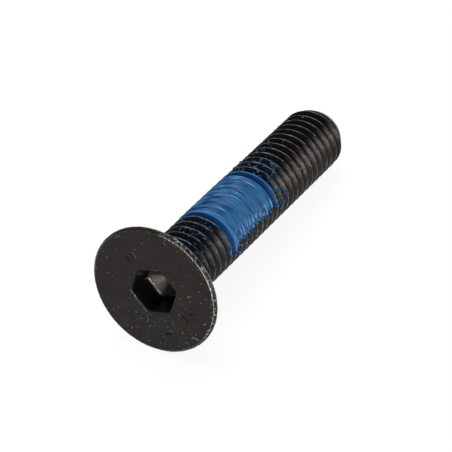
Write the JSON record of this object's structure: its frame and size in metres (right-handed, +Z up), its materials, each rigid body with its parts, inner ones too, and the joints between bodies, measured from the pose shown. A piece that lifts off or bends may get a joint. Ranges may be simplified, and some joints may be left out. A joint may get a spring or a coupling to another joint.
{
  "type": "countersunk socket screw",
  "caption": "Countersunk steel screw with a hexagon socket, threaded up to the head, with a locking patch of blue nylon on one side of the thread.",
  "frame": {"origin": "bottom centre of the bounding box of the screw as it lies, on the surface it rests on", "axes": "+Z up, +X from the head towards the thread's end, along the floor; the screw's own axis dips about 6 degrees below +X"},
  "size_m": [0.041, 0.0158, 0.0157],
  "materials": {
    "blackened_steel": "black oxide, satin, with a brown cast and worn edges",
    "blue_nylon": "powder melted onto the thread, satin"
  },
  "bodies": {
    "root": {"screw": "blackened_steel", "nylon_patch": "blue_nylon"}
  },
  "joints": []
}
